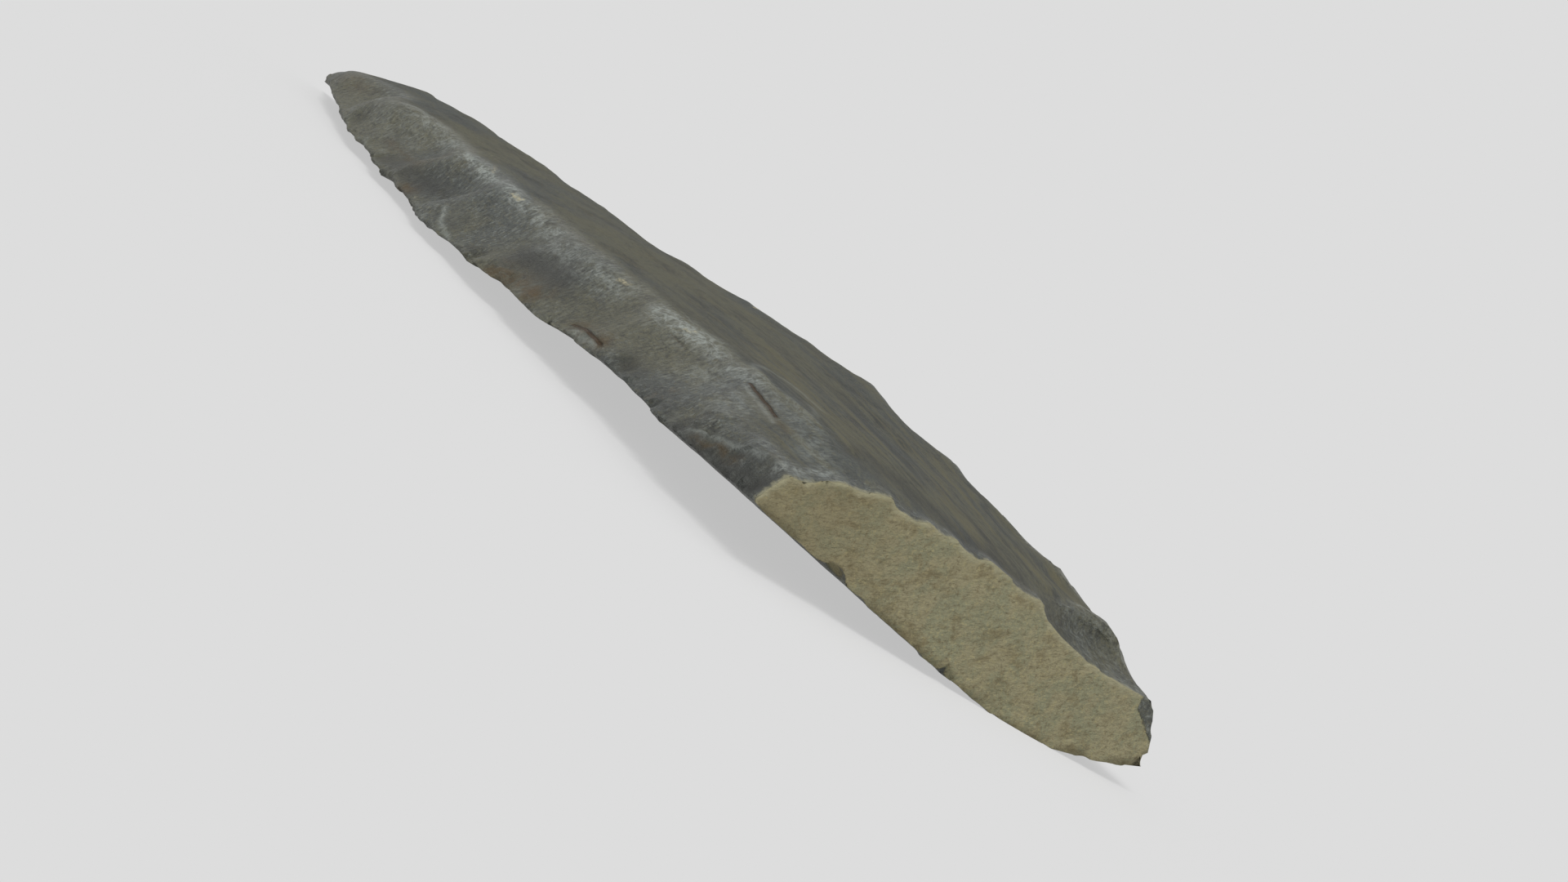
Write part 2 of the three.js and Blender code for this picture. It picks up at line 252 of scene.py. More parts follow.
PATTERNS: tuple[Pattern, ...] = (
    Pattern("cloud", 0.1, 4, 0.5),
    Pattern("brown", 0.3, 6, 0.65),
    Pattern("mottle", 0.35, 6, 0.6),
    Pattern("patch", 0.5, 5, 0.65),
    Pattern("bloom_patch", 0.8, 6, 0.7),
    Pattern("dimple", 1.1, 5, 0.6),
    Pattern("vein", 1.3, 5, 0.65),
    Pattern("fold", 2.1, 3, 0.55),
    Pattern("ragged", 1.8, 5, 0.7, False),
    Pattern("break_speck", 3.6, 5, 0.8, False),
    Pattern("speck", 4.0, 6, 0.8, False),
    Pattern("grain", 5.5, 4, 0.7, False),
    Pattern("streak", 0.75, 6, 0.68, False, (0.09, 1.0, 1.0)),
    Pattern("hair", 2.8, 5, 0.7, False, (2.6, 0.6, 0.6)),
    Pattern("fibre", 4.4, 6, 0.8, False, (0.8, 1.0, 1.0)),
    Pattern("break_brown", 0.9, 5, 0.65, turned=True),
    Pattern("break_coarse", 2.6, 5, 0.65, False, turned=True),
    Pattern("break_fibre", 3.4, 5, 0.65, False, turned=True),
)


@dataclass(frozen=True)
class Ramp:
    """A number that follows another one smoothly between two levels.

    Attributes:
        low: The other number where the ramp starts.
        high: The other number where it ends.
        least: The number at the start.
        most: The number at the end.
    """

    low: float
    high: float
    least: float = 0.0
    most: float = 1.0


@dataclass(frozen=True)
class Layer:
    """One colour laid over the stone.

    Attributes:
        colour: The name of one of the finish's colours.
        share: How much of it there is, either evenly or along a pattern.
        pattern: The name of what a ramp follows.
        where: Names of what limits it further.
    """

    colour: str
    share: Ramp | float
    pattern: str = ""
    where: tuple[str, ...] = ()


@dataclass(frozen=True)
class SkinFinish:
    """The patinated skin of the flaked stone.

    Attributes:
        ground: Its commonest colour, an olive grey.
        slate: Bluer patches.
        dark: Mottling, a darker back, and painted shade in hollows, deep scars and between hairs.
        tan: Streaks drawn out along the back.
        bloom_and_sheen: Pale polish on the ridges, partly a painted sheen.
        soil: Brown held in hollows.
        crack: Darker brown in the grooves.
        grit: Cream flecks.
        roughness: How dull it is, from the handled flank to the back.
        shine: The specular level of the whole stone.
        drawing: The grain's scale along the blade against that across it.
        streaks: How strongly the back is streaked, from near the point to the snap.
        flank: Where the handled flank is, from the back outwards.
        clouded: How much the flank's pale hairs, partly a painted sheen, differ from patch to
            patch.
        hairs: How strongly hairs show in the pale polish and sheen.
        veins: How strongly veins show in it, by the distance from a vein's middle.
        patches: Where the pale polish and sheen are whole.
        gritty: How fibres fray a fleck.
        heights: How far patterns raise the skin.
        layers: Its colours in the order in which they are laid.
    """

    ground: Tone = (103, 103, 89)
    slate: Tone = (91, 95, 92)
    dark: Tone = (64, 65, 62)
    tan: Tone = (116, 111, 85)
    bloom_and_sheen: Tone = (168, 174, 168)
    soil: Tone = (92, 75, 48)
    crack: Tone = (76, 61, 44)
    grit: Tone = (200, 190, 155)
    roughness: Ramp = Ramp(0.2, 0.9, 0.42, 0.7)
    shine: float = 0.18
    drawing: float = 0.6
    streaks: Ramp = Ramp(-10.0, -28.0, 0.2, 0.7)
    flank: Ramp = Ramp(0.8, 0.2)
    clouded: Ramp = Ramp(0.4, 0.6, 0.2, 0.45)
    hairs: Ramp = Ramp(0.4, 0.64, 0.15, 0.6)
    veins: Ramp = Ramp(0.07, 0.0, 0.0, 0.6)
    patches: Ramp = Ramp(0.35, 0.55)
    gritty: Ramp = Ramp(0.7, 0.3, 0.0, 0.5)
    heights: tuple[tuple[str, float], ...] = (
        ("dimple", 0.5),
        ("folds", -0.35),
        ("hair", 0.4),
        ("grain", 0.36),
    )
    layers: tuple[Layer, ...] = (
        Layer("slate", Ramp(0.42, 0.64), "cloud"),
        Layer("dark", Ramp(0.5, 0.7, 0.0, 0.7), "mottle"),
        Layer("tan", Ramp(0.5, 0.64, 0.0, 0.55), "speck"),
        Layer("dark", Ramp(0.5, 0.36, 0.0, 0.7), "speck"),
        Layer("tan", Ramp(0.54, 0.68, 0.0, 0.35), "brown"),
        Layer("tan", Ramp(0.47, 0.62), "streak", ("streaked",)),
        Layer("dark", Ramp(0.51, 0.38, 0.0, 0.7), "streak", ("streaked",)),
        # The whole back, which faces up, is laid a little darker
        Layer("dark", 0.12, where=("back",)),
        # Flank hairs: partly the stone's own pale hairs, partly painted sheen on their raised
        # crests and painted shade between them
        Layer("bloom_and_sheen", Ramp(0.52, 0.68), "hair", ("flank", "clouded")),
        Layer("dark", Ramp(0.48, 0.36, 0.0, 0.6), "hair", ("flank",)),
        # Painted shade in the hollows
        Layer("dark", Ramp(0.3, 0.6, 0.0, 0.22), "mottle", ("hollow",)),
        # Painted shade over the shade marks: deeper scars, the facet by the snap and beside its
        # rim
        Layer("dark", Ramp(0.3, 0.5, 0.6, 0.95), "patch", ("shade",)),
        # Pale polish on the shoulder's marks, partly a painted sheen
        Layer("bloom_and_sheen", 0.95, where=("bloom_and_sheen", "feather")),
        Layer("bloom_and_sheen", 0.15, where=("worn", "feather")),
        Layer("soil", Ramp(0.38, 0.62, 0.0, 0.75), "bloom_patch", ("stain",)),
        Layer("bloom_and_sheen", Ramp(0.25, 0.6, 0.0, 0.6), "fibre", ("pale_line",)),
        Layer("crack", Ramp(0.35, 0.75, 0.0, 0.9), "groove"),
        Layer("grit", Ramp(0.75, 1.25, 0.0, 0.75), "frayed_fleck"),
    )


@dataclass(frozen=True)
class BreakFinish:
    """The snapped end, where the stone shows its own colour.

    Attributes:
        ground: Its commonest colour, a tan.
        grey: Greener patches.
        ochre: Light fibres.
        dark: Brown patches, dark fibres and a darkening towards the steep side.
        crushed: The pale line along the upper rim.
        roughness: How dull it is.
        tilt: The grain's slope across the face.
        drawing: How far the grain is drawn out.
        height: How far the grain raises it.
        torn: How raggedly the break ends, as the share and the least of what tears it.
        edge: Where the break starts.
        line: Where the crushed line is, by the distance from the rim.
        line_tear: How raggedly that line ends.
        layers: Its colours in the order in which they are laid.
    """

    ground: Tone = (149, 143, 115)
    grey: Tone = (138, 138, 113)
    ochre: Tone = (162, 153, 115)
    dark: Tone = (117, 107, 80)
    crushed: Tone = (164, 160, 132)
    roughness: float = 0.9
    tilt: float = -22.0
    drawing: float = 1.8
    height: float = 0.55
    torn: tuple[float, float] = (1.6, 0.2)
    edge: Ramp = Ramp(0.3, 0.6)
    line: Ramp = Ramp(1.25, 0.75, 0.0, 0.75)
    line_tear: float = 1.5
    layers: tuple[Layer, ...] = (
        Layer("grey", Ramp(0.42, 0.6), "patch"),
        Layer("dark", Ramp(0.48, 0.68, 0.0, 0.7), "break_brown"),
        Layer("ochre", Ramp(0.5, 0.72, 0.0, 0.4), "break_fibre"),
        Layer("dark", Ramp(0.5, 0.3, 0.0, 0.5), "break_fibre"),
        Layer("ochre", Ramp(0.52, 0.64, 0.0, 0.75), "break_speck"),
        Layer("dark", Ramp(0.48, 0.36, 0.0, 0.75), "break_speck"),
        # Darker towards the steep side of the broken face
        Layer("dark", Ramp(4.0, 15.0, 0.0, 0.35), "across"),
    )


class Wiring:
    """Short calls that add nodes to a tree and join them."""

    def __init__(self, tree: bpy.types.NodeTree) -> None:
        """Keeps the tree that gets the nodes."""
        self.tree = tree

    def node(self, kind: str, inputs: dict[str | int, Any] | None = None, **settings: Any) -> Any:
        """Adds a node.

        Args:
            kind: The node's type.
            inputs: What goes into its sockets, by name or number: an output or a plain value.
            settings: Properties of the node.

        Returns:
            The node.
        """
        made = self.tree.nodes.new(kind)
        for name, value in settings.items():
            setattr(made, name, value)
        for name, value in (inputs or {}).items():
            self.feed(self.socket(made.inputs, name), value)
        return made

    @staticmethod
    def socket(sockets: Any, name: str | int) -> Any:
        """Returns the socket in use that has a name or a number."""
        if isinstance(name, int):
            return sockets[name]
        return next(s for s in sockets if s.name == name and s.enabled)

    def feed(self, socket: Any, value: Any) -> None:
        """Joins an output to an input socket, or sets the socket to a plain value."""
        if isinstance(value, bpy.types.NodeSocket):
            self.tree.links.new(value, socket)
        else:
            socket.default_value = value

    def sum(self, operation: str, *values: Any) -> Any:
        """Returns what a Math node's operation makes of numbers."""
        inputs = dict(enumerate(values))
        return self.node("ShaderNodeMath", inputs, operation=operation).outputs[0]

    def times(self, first: Any, second: Any) -> Any:
        """Returns one number times another."""
        return self.sum("MULTIPLY", first, second)

    def vector(self, operation: str, *values: Any, output: str = "Vector", **named: Any) -> Any:
        """Does arithmetic on vectors.

        Args:
            operation: The Vector Math node's operation.
            values: Its inputs in order.
            output: Which output to take.
            named: Inputs by name, such as Scale.

        Returns:
            The output.
        """
        inputs = {**dict(enumerate(values)), **named}
        made = self.node("ShaderNodeVectorMath", inputs, operation=operation)
        return self.socket(made.outputs, output)

    def follow(self, value: Any, ramp: Ramp) -> Any:
        """Returns the number that follows a value along a ramp."""
        inputs = dict(enumerate((value, ramp.low, ramp.high, ramp.least, ramp.most)))
        return self.node("ShaderNodeMapRange", inputs, interpolation_type="SMOOTHSTEP").outputs[0]

    def mix(self, share: Any, first: Any, second: Any, kind: str = "RGBA") -> Any:
        """Returns two colours, or two numbers as FLOAT, mixed with a share of the second."""
        inputs = {"Factor": share, "A": first, "B": second}
        made = self.node("ShaderNodeMix", inputs, data_type=kind)
        return self.socket(made.outputs, "Result")


@dataclass
class StoneMaterial:
    """The one material of the blade: patinated skin, broken end and marks.

    Attributes:
        skin: The skin's finish.
        fresh: The broken end's finish.
        slow: The scale and the octaves of the noise that bends the patterns.
        bend: How far it bends them.
        bump: The height that the grain's bump stands for.
        groove_depth: The depth of the grooves in that bump.
    """

    skin: SkinFinish = SkinFinish()
    fresh: BreakFinish = BreakFinish()
    slow: tuple[float, float] = (0.3, 2.0)
    bend: float = 3.0
    bump: float = 0.5
    groove_depth: float = 0.8

    def layouts(self, wires: Wiring) -> dict[tuple[bool, bool], Any]:
        """Wires the coordinates that patterns are laid out in.

        Args:
            wires: The material's wiring.

        Returns:
            Coordinates in millimetres, by whether they are bent and whether they are turned.
        """
        place = wires.node("ShaderNodeTexCoord").outputs["Object"]
        place = wires.vector("SCALE", place, Scale=1 / MM)
        place = wires.vector("MULTIPLY", place, (self.skin.drawing, 1.0, 1.0))
        inputs = {"Vector": place, "Scale": self.slow[0], "Detail": self.slow[1]}
        bend = wires.node("ShaderNodeTexNoise", inputs).outputs["Color"]
        bend = wires.vector("SUBTRACT", bend, (0.5, 0.5, 0.5))
        warped = wires.vector("MULTIPLY_ADD", bend, (self.bend,) * 3, place)
        found = {}
        for bent, laid in ((False, place), (True, warped)):
            inputs = {
                "Vector": laid,
                "Rotation": (math.radians(self.fresh.tilt), 0, 0),
                "Scale": (1.0, self.fresh.drawing, 1.0),
            }
            turned = wires.node("ShaderNodeMapping", inputs, vector_type="TEXTURE")
            found[bent, False], found[bent, True] = laid, turned.outputs[0]
        return found

    def guides(self, wires: Wiring) -> dict[str, Any]:
        """Wires what the layers follow.

        Args:
            wires: The material's wiring.

        Returns:
            Patterns, vertex attributes and what is made of them, by name.
        """
        skin, layouts = self.skin, self.layouts(wires)
        found = {
            kind.value: wires.node("ShaderNodeAttribute", attribute_name=kind.value).outputs["Fac"]
            for kind in (*Mark, *Lie)
        }
        for pattern in PATTERNS:
            laid = layouts[pattern.bent, pattern.turned]
            inputs = {
                "Vector": wires.vector("MULTIPLY", laid, pattern.drawn),
                "Scale": pattern.per_mm,
                "Detail": pattern.detail,
                "Roughness": pattern.rough,
            }
            found[pattern.name] = wires.node("ShaderNodeTexNoise", inputs).outputs[0]
        along = wires.node("ShaderNodeSeparateXYZ", {0: layouts[False, False]}).outputs["X"]
        across = wires.node("ShaderNodeSeparateXYZ", {0: layouts[True, False]}).outputs["Y"]
        vein, fold = (
            wires.sum("ABSOLUTE", wires.sum("SUBTRACT", found[name], 0.5))
            for name in ("vein", "fold")
        )
        fine = wires.sum(
            "ADD", wires.follow(found["hair"], skin.hairs), wires.follow(vein, skin.veins)
        )
        frayed = wires.follow(found["fibre"], skin.gritty)
        return {
            **found,
            "across": across,
            "folds": fold,
            "streaked": wires.times(wires.follow(along, skin.streaks), found["back"]),
            "flank": wires.follow(found["back"], skin.flank),
            "clouded": wires.follow(found["cloud"], skin.clouded),
            "feather": wires.times(fine, wires.follow(found["bloom_patch"], skin.patches)),
            "frayed_fleck": wires.sum("ADD", frayed, found["fleck"]),
        }

    def paint(self, wires: Wiring, guides: dict[str, Any], finish: Any) -> Any:
        """Wires a finish's layers over its ground.

        Args:
            wires: The material's wiring.
            guides: What the layers follow.
            finish: The finish.

        Returns:
            The colour.
        """
        colour = tone(finish.ground)
        for layer in finish.layers:
            share = layer.share
            if isinstance(share, Ramp):
                share = wires.follow(guides[layer.pattern], share)
            for name in layer.where:
                share = wires.times(share, guides[name])
            colour = wires.mix(share, colour, tone(getattr(finish, layer.colour)))
        return colour

    def build(self) -> bpy.types.Material:
        """Makes the material.

        Returns:
            The material.
        """
        material = bpy.data.materials.new("flaked_stone_finish")
        material.use_nodes = True
        wires = Wiring(material.node_tree)
        shader = material.node_tree.nodes["Principled BSDF"]
        guides = self.guides(wires)
        skin, fresh = self.skin, self.fresh
        torn = wires.sum("MULTIPLY_ADD", guides["ragged"], *fresh.torn)
        broken = wires.follow(wires.times(torn, guides["fresh"]), fresh.edge)
        colour = wires.mix(
            broken, self.paint(wires, guides, skin), self.paint(wires, guides, fresh)
        )
        rim = wires.sum("ADD", guides["rim"], guides["old"])
        rim = wires.sum("MULTIPLY_ADD", guides["ragged"], fresh.line_tear, rim)
        colour = wires.mix(wires.follow(rim, fresh.line), colour, tone(fresh.crushed))
        wires.feed(shader.inputs["Base Color"], colour)
        dull = wires.follow(guides["back"], skin.roughness)
        dull = wires.mix(broken, dull, fresh.roughness, "FLOAT")
        wires.feed(shader.inputs["Roughness"], dull)
        shader.inputs["Specular IOR Level"].default_value = skin.shine
        raised = 0.0
        for name, height in skin.heights:
            raised = wires.sum("MULTIPLY_ADD", guides[name], height, raised)
        coarse = wires.times(guides["break_coarse"], fresh.height)
        raised = wires.mix(broken, raised, coarse, "FLOAT")
        sunk = wires.times(guides["groove"], self.groove_depth)
        raised = wires.sum("SUBTRACT", raised, sunk)
        inputs = {"Height": raised, "Strength": 1.0, "Distance": self.bump * MM}
        wires.feed(shader.inputs["Normal"], wires.node("ShaderNodeBump", inputs).outputs[0])
        return material


@dataclass
class Relief:
    """A Geometry Nodes tree that bites crushing out of the edges and raises the stone's grain.

    Crushing follows lines laid along the edges. Each line vertex carries the push that a chip
    there gives the stone, and the chips are spread along the line at a spacing.

    Attributes:
        chip_spacing: Distance between chips along an edge.
        chip_radius: Radius of an ordinary chip.
        chip_depth: Its depth as a share of its radius.
        chip_jitter: How far chips stray from their line.
        chip_sizes: The square roots of the least and the greatest chip against an ordinary one.
        swell_height: Height of the broad undulation.
        swell_size: Length of the broad undulation.
        swell_detail: Its octaves.
        ripple_height: Height of the ripples that run out from the edges.
        ripple_length: Distance between ripples.
        grain_height: Height of the grain.
        grain_size: Size of the grain.
        grain_detail: Its octaves.
        seed: Seed of what is random.
        push_name: The attribute that carries a chip's push.
        radius_name: The attribute that carries its radius.
        give_name: The attribute that says how much of the grain a vertex takes.
        wires: The tree's wiring.
        given: The tree's inputs.
        place: The skin's position.
    """

    chip_spacing: float = 1.6
    chip_radius: float = 1.7
    chip_depth: float = 0.22
    chip_jitter: float = 0.35
    chip_sizes: Limits = (0.4, 1.3)
    swell_height: float = 0.3
    swell_size: float = 5.0
    swell_detail: float = 2.0
    ripple_height: float = 0.02
    ripple_length: float = 2.6
    grain_height: float = 0.09
    grain_size: float = 1.1
    grain_detail: float = 4.0
    seed: int = 11
    push_name: str = "chip_push"
    radius_name: str = "chip_radius"
    give_name: str = "give"
    wires: Wiring = field(init=False)
    given: Any = field(init=False)
    place: Any = field(init=False)

    def lengths(self) -> dict[str, float]:
        """Returns the tree's lengths in metres, by the names of its inputs."""
        names = ("chip_spacing", "chip_radius", "chip_jitter", "swell_height", "swell_size")
        names += ("ripple_height", "ripple_length", "grain_height", "grain_size")
        return {name.replace("_", " ").title(): getattr(self, name) * MM for name in names}

    def lines(self) -> Any:
        """Returns the edge lines' geometry."""
        inputs = {"Object": self.given["Edge Lines"]}
        return self.wires.node("GeometryNodeObjectInfo", inputs).outputs["Geometry"]

    def kept(self, kind: str, name: str) -> Any:
        """Returns a vertex attribute."""
        made = self.wires.node("GeometryNodeInputNamedAttribute", {"Name": name}, data_type=kind)
        return made.outputs[0]

    def chip_points(self) -> Any:
        """Spreads chips along the edge lines.

        Returns:
            The points, each with its radius.
        """
        wires, given = self.wires, self.given
        curve = wires.node("GeometryNodeMeshToCurve", {0: self.lines()}).outputs[0]
        inputs = {"Curve": curve, "Length": given["Chip Spacing"]}
        points = wires.node("GeometryNodeCurveToPoints", inputs, mode="LENGTH").outputs["Points"]
        inputs = {0: (-1.0, -1.0, -1.0), 1: (1.0, 1.0, 1.0), "Seed": given["Seed"]}
        stray = wires.node("FunctionNodeRandomValue", inputs, data_type="FLOAT_VECTOR").outputs[0]
        offset = wires.vector("SCALE", stray, Scale=given["Chip Jitter"])
        moved = wires.node("GeometryNodeSetPosition", {"Geometry": points, "Offset": offset})
        inputs = {2: self.chip_sizes[0], 3: self.chip_sizes[1], "Seed": given["Seed"]}
        spread = wires.node("FunctionNodeRandomValue", inputs, data_type="FLOAT").outputs[1]
        radius = wires.times(wires.sum("POWER", spread, 2.0), given["Chip Radius"])
        inputs = {"Geometry": moved.outputs[0], "Name": self.radius_name, "Value": radius}
        return wires.node(
            "GeometryNodeStoreNamedAttribute", inputs, data_type="FLOAT", domain="POINT"
        ).outputs[0]

    def chip_offset(self) -> Any:
        """Works out how far the nearest chip pushes the skin.

        Returns:
            The offset.
        """
        wires, chips = self.wires, self.chip_points()
        inputs = {"Geometry": chips, "Sample Position": self.place}
        nearest = wires.node("GeometryNodeSampleNearest", inputs, domain="POINT").outputs[0]

        def sampled(kind: str, value: Any) -> Any:
            """Returns a value of the nearest chip."""
            inputs = {"Geometry": chips, "Value": value, "Index": nearest}
            made = wires.node("GeometryNodeSampleIndex", inputs, data_type=kind, domain="POINT")
            return made.outputs[0]

        centre = sampled("FLOAT_VECTOR", wires.node("GeometryNodeInputPosition").outputs[0])
        push = sampled("FLOAT_VECTOR", self.kept("FLOAT_VECTOR", self.push_name))
        size = wires.vector("LENGTH", push, output="Value")
        radius = wires.times(sampled("FLOAT", self.kept("FLOAT", self.radius_name)), size)
        away = wires.vector("DISTANCE", self.place, centre, output="Value")
        share = wires.sum("POWER", wires.sum("DIVIDE", away, radius), 2.0)
        bowl = wires.sum("SUBTRACT", 1.0, share)
        bite = wires.times(wires.sum("MAXIMUM", bowl, 0.0), radius)
        bite = wires.times(bite, self.given["Chip Depth"])
        return wires.vector("SCALE", wires.vector("NORMALIZE", push), Scale=bite)

    def skin_offset(self) -> Any:
        """Works out the undulation, the ripples and the grain.

        Returns:
            The offset, into the stone and out of it.
        """
        wires, given = self.wires, self.given

        def relief(size: str, height: str, detail: float) -> Any:
            """Returns the height that noise gives, sized by two of the tree's inputs."""
            scale = wires.sum("DIVIDE", 1.0, given[size])
            inputs = {"Vector": self.place, "Scale": scale, "Detail": detail}
            made = wires.node("ShaderNodeTexNoise", inputs).outputs[0]
            return wires.times(wires.sum("SUBTRACT", made, 0.5), given[height])

        inputs = {0: self.lines(), "Sample Position": self.place}
        near = wires.node("GeometryNodeProximity", inputs, target_element="EDGES")
        bend = relief("Swell Size", "Ripple Length", self.swell_detail)
        bent = wires.sum("ADD", near.outputs["Distance"], bend)
        turn = wires.sum("DIVIDE", wires.times(bent, math.tau), given["Ripple Length"])
        ripple = wires.times(wires.sum("SINE", turn), wires.times(given["Ripple Height"], 0.5))
        swell = relief("Swell Size", "Swell Height", self.swell_detail)
        grain = relief("Grain Size", "Grain Height", self.grain_detail)
        sink = wires.sum("ADD", wires.sum("ADD", ripple, swell), grain)
        sink = wires.times(sink, self.kept("FLOAT", self.give_name))
        normal = wires.node("GeometryNodeInputNormal").outputs[0]
        return wires.vector("SCALE", normal, Scale=wires.times(sink, -1.0))

    def tree(self) -> bpy.types.NodeTree:
        """Builds the tree.

        Returns:
            The tree, whose inputs are named sizes.
        """
        tree = bpy.data.node_groups.new("stone_relief", "GeometryNodeTree")
        tree.interface.new_socket("Geometry", in_out="OUTPUT", socket_type="NodeSocketGeometry")
        kinds = {"Geometry": "Geometry", "Edge Lines": "Object", "Stone": "Material"}
        kinds |= {"Seed": "Int"} | dict.fromkeys(("Chip Depth", *self.lengths()), "Float")
        for name, kind in kinds.items():
            tree.interface.new_socket(name, in_out="INPUT", socket_type="NodeSocket" + kind)
        self.wires = wires = Wiring(tree)
        self.given = wires.node("NodeGroupInput").outputs
        self.place = wires.node("GeometryNodeInputPosition").outputs[0]
        offset = wires.vector("ADD", self.chip_offset(), self.skin_offset())
        inputs = {"Geometry": self.given["Geometry"], "Offset": offset}
        moved = wires.node("GeometryNodeSetPosition", inputs).outputs[0]
        real = wires.node("GeometryNodeRealizeInstances", {0: moved}).outputs[0]
        inputs = {"Geometry": real, "Material": self.given["Stone"]}
        dressed = wires.node("GeometryNodeSetMaterial", inputs).outputs[0]
        wires.node("NodeGroupOutput", {0: dressed})
        return tree

    def apply(self, stone: bpy.types.Object, lines: bpy.types.Object, finish: Any) -> None:
        """Runs the tree on the stone and keeps the result as a plain mesh.

        Args:
            stone: The stone, which gets the new mesh.
            lines: The edge lines.
            finish: The stone's material.
        """
        modifier = stone.modifiers.new("relief", "NODES")
        modifier.node_group = self.tree()
        given = {"Edge Lines": lines, "Stone": finish, "Seed": self.seed, **self.lengths()}
        given["Chip Depth"] = self.chip_depth
        for item in modifier.node_group.interface.items_tree:
            if item.in_out == "INPUT" and item.name in given:
                modifier[item.identifier] = given[item.name]
        keep_modified(stone)


@dataclass(frozen=True)
class Wear:
    """Wear along a ridge.

    Attributes:
        path: The ridge's places.
        reach: How far the wear spreads to each side.
        rounds: How long the skin is smoothed there.
    """

    path: tuple[Point, ...]
    reach: float
    rounds: int


class Skin:
    """The blade's surface as arrays, with the sums that the looks need.

    Attributes:
        stride: How far a vertex goes towards its neighbours' average in one round.
        least_pull: How much two vertices count for each other across the sharpest ridge.
        least_length: What keeps a path's step of no length from being divided by.
    """

    stride = 0.5
    least_pull = 1e-3
    least_length = 1e-9

    def __init__(self, mesh: bpy.types.Mesh) -> None:
        """Reads a mesh, whose own places are in metres."""
        self.mesh = mesh
        self.points = self.read(mesh.vertices, "co").astype(float) / MM
        self.edges = self.read(mesh.edges, "vertices", 2, np.int32)

    @staticmethod
    def read(items: Any, name: str, width: int = 3, kind: Any = np.float32) -> np.ndarray:
        """Returns what all items say of themselves, in rows of a width."""
        found = np.empty(len(items) * width, kind)
        items.foreach_get(name, found)
        return found.reshape(-1, width)

    def averaged(self, values: np.ndarray, pull: np.ndarray | None = None) -> np.ndarray:
        """Averages values over each vertex's neighbours.

        Args:
            values: One row for each vertex.
            pull: How much the two ends of each edge count for each other, or None for alike.

        Returns:
            The averages.
        """
        first, second = self.edges.T
        ends, starts = np.concatenate((first, second)), np.concatenate((second, first))
        pulls = np.ones(len(ends)) if pull is None else np.concatenate((pull, pull))
        total = [
            np.bincount(ends, weights=pulls * column[starts], minlength=len(values))
            for column in values.T
        ]
        whole = np.bincount(ends, weights=pulls, minlength=len(values))
        return np.stack(total, axis=1) / whole[:, None]

    def eased(self, rounds: int) -> np.ndarray:
        """Returns the points, smoothed evenly a number of times."""
        points = self.points.copy()
        for _ in range(rounds):
            points += self.stride * (self.averaged(points) - points)
        return points

    def take(self, wear: Wear) -> None:
        """Rounds the skin off where it is worn."""
        pull = self.near(np.array(wear.path), wear.reach)
        self.write(self.points + pull * (self.eased(wear.rounds) - self.points))

    def ease_facets(self, rounds: int, ridge_turn: np.ndarray, hold: np.ndarray) -> None:
        """Smooths the flat facets into each other and keeps the ridges between scars.

        Args:
            rounds: How many times.
            ridge_turn: The turn that marks a ridge at each vertex.
            hold: How freely each vertex moves, from 0 to 1.
        """
        first, second = self.edges.T
        turn = ridge_turn[first]
        solid = self.points
        for _ in range(rounds):
            normals = self.normals()
            alike = np.clip((normals[first] * normals[second]).sum(axis=1), -1, 1)
            pull = fade(np.degrees(np.arccos(alike)), turn) + self.least_pull
            step = self.averaged(self.points, pull) - self.points
            self.write(self.points + self.stride * hold * step)
        lost = solid - self.points
        for _ in range(rounds // 2):
            lost = self.averaged(lost)
        self.write(self.points + lost)

    def normals(self) -> np.ndarray:
        """Returns the vertex normals."""
        return self.read(self.mesh.vertex_normals, "vector").astype(float)

    def write(self, points: np.ndarray) -> None:
        """Moves the vertices to new places."""
        self.points = points
        self.mesh.vertices.foreach_set("co", (points * MM).astype(np.float32).ravel())
        self.mesh.update()

    def store(self, name: str, values: np.ndarray) -> None:
        """Keeps a number for each vertex as an attribute."""
        kept = self.mesh.attributes.new(name, "FLOAT", "POINT")
        kept.data.foreach_set("value", values.astype(np.float32))

    def nearest_on(self, path: np.ndarray) -> tuple[np.ndarray, np.ndarray]:
        """Finds the place on a path that is nearest to each vertex.

        Args:
            path: The path's places.

        Returns:
            The nearest places and their distances.
        """
        nearest = np.repeat(path[:1], len(self.points), axis=0)
        best = np.linalg.norm(self.points - path[0], axis=1)
        for start, end in zip(path, path[1:]):
            line = end - start
            whole = max(line @ line, self.least_length)
            share = np.clip((self.points - start) @ line / whole, 0, 1)
            place = start + share[:, None] * line
            away = np.linalg.norm(self.points - place, axis=1)
            closer = away < best
            nearest[closer], best[closer] = place[closer], away[closer]
        return nearest, best

    def near(self, path: np.ndarray, reach: float) -> np.ndarray:
        """Returns a column of shares: 1 on a path, fading out over a reach."""
        return fade(self.nearest_on(path)[1], reach)[:, None]

    def draw_out(self, paths: list[np.ndarray], reach: float) -> None:
        """Draws the skin within a reach out to sharp lines that it has rounded off."""
        for path in paths:
            nearest, away = self.nearest_on(path)
            self.write(self.points + fade(away, reach)[:, None] * (nearest - self.points))

    def shift(self, path: np.ndarray, shift: np.ndarray, reach: float) -> None:
        """Takes the skin beside a path along with it.

        Args:
            path: The path.
            shift: How far each of its places goes.
            reach: How far the skin follows.
        """
        follow = self.near(path, reach)
        moved = [np.interp(self.points[:, 0], path[:, 0], shift[:, axis]) for axis in range(3)]
        self.write(self.points + follow * np.stack(moved, axis=1))


